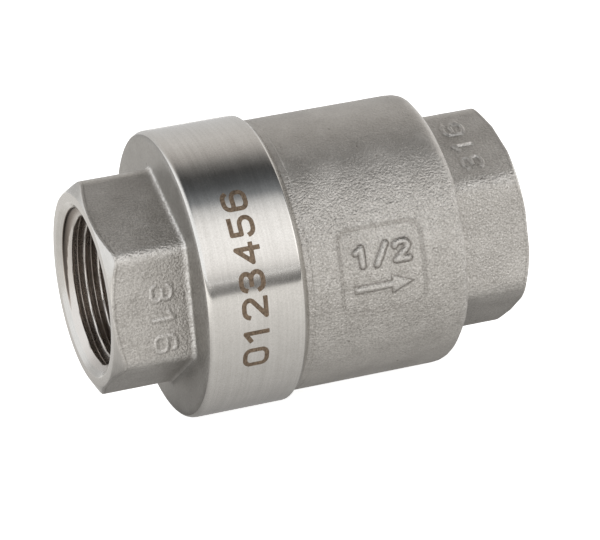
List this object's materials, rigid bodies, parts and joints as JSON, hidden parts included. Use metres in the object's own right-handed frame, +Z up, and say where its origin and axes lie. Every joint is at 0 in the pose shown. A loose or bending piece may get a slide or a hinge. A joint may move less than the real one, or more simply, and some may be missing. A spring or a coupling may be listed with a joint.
{
  "type": "inline spring check valve",
  "caption": "Inline spring check valve with a screwed two-piece stainless body, hexagon ends with female pipe threads, a flow-arrow panel and a sliding sealed disc.",
  "frame": {"origin": "centre of the inlet end face, on the flow axis", "axes": "+X along the flow from inlet to outlet, +Z up, the flow-arrow panel faces -Y and two flats of the outlet hexagon face -Y and +Y"},
  "size_m": [0.0559, 0.0372, 0.0372],
  "materials": {
    "cast_stainless": "bead-blasted investment casting, warm grey with a fine sparkle",
    "machined_stainless": "satin cast hexagon with a finely turned, polished collar",
    "turned_stainless": "turned, with fine circular marks",
    "spring_stainless": "drawn and heat-straw tinted spring steel",
    "ptfe": "waxy off-white fluoropolymer"
  },
  "bodies": {
    "housing": {"body": "cast_stainless", "end_cap": "machined_stainless", "body_gasket": "ptfe", "spring": "spring_stainless", "spring_washer": "turned_stainless", "stem_guide": "turned_stainless", "guide_bush": "ptfe", "retaining_ring": "spring_stainless"},
    "disc_assembly": {"disc": "turned_stainless", "disc_seal": "ptfe", "seal_retainer": "turned_stainless", "lock_washer": "spring_stainless", "retainer_screw": "turned_stainless", "stem": "turned_stainless"}
  },
  "joints": [
    {"name": "disc_slide", "type": "slide", "parent": "housing", "child": "disc_assembly", "axis": [1, 0, 0], "range_m": [0, 0.0045], "stiffness_N_per_m": 310, "springref_m": -0.0026, "deforming": ["spring"]}
  ]
}
